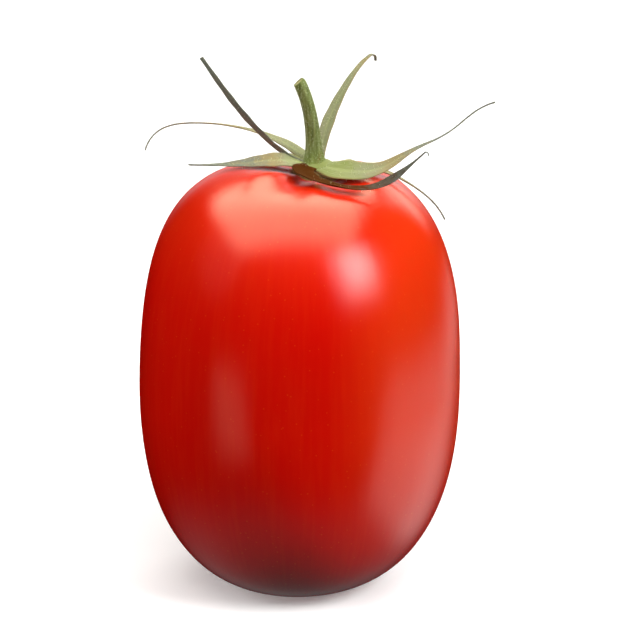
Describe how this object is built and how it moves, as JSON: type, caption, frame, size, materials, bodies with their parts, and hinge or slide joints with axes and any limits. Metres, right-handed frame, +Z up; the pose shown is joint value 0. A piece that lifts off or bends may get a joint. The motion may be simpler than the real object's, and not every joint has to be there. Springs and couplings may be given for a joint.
{
  "type": "tomato",
  "caption": "Ripe red plum tomato standing on its blossom end, with a green star-shaped calyx of long thin sepals and a short cut stem.",
  "frame": {"origin": "middle of the small flat spot on the blossom end that the fruit stands on", "axes": "+Z up along the fruit towards the stem, +X to the right and -Y towards the viewer of the picture"},
  "size_m": [0.0572, 0.0521, 0.0862],
  "materials": {
    "skin": "gloss",
    "sepal": "matte",
    "stem": "matte"
  },
  "bodies": {
    "root": {"fruit": "skin", "calyx": "sepal", "stem": "stem"}
  },
  "joints": []
}
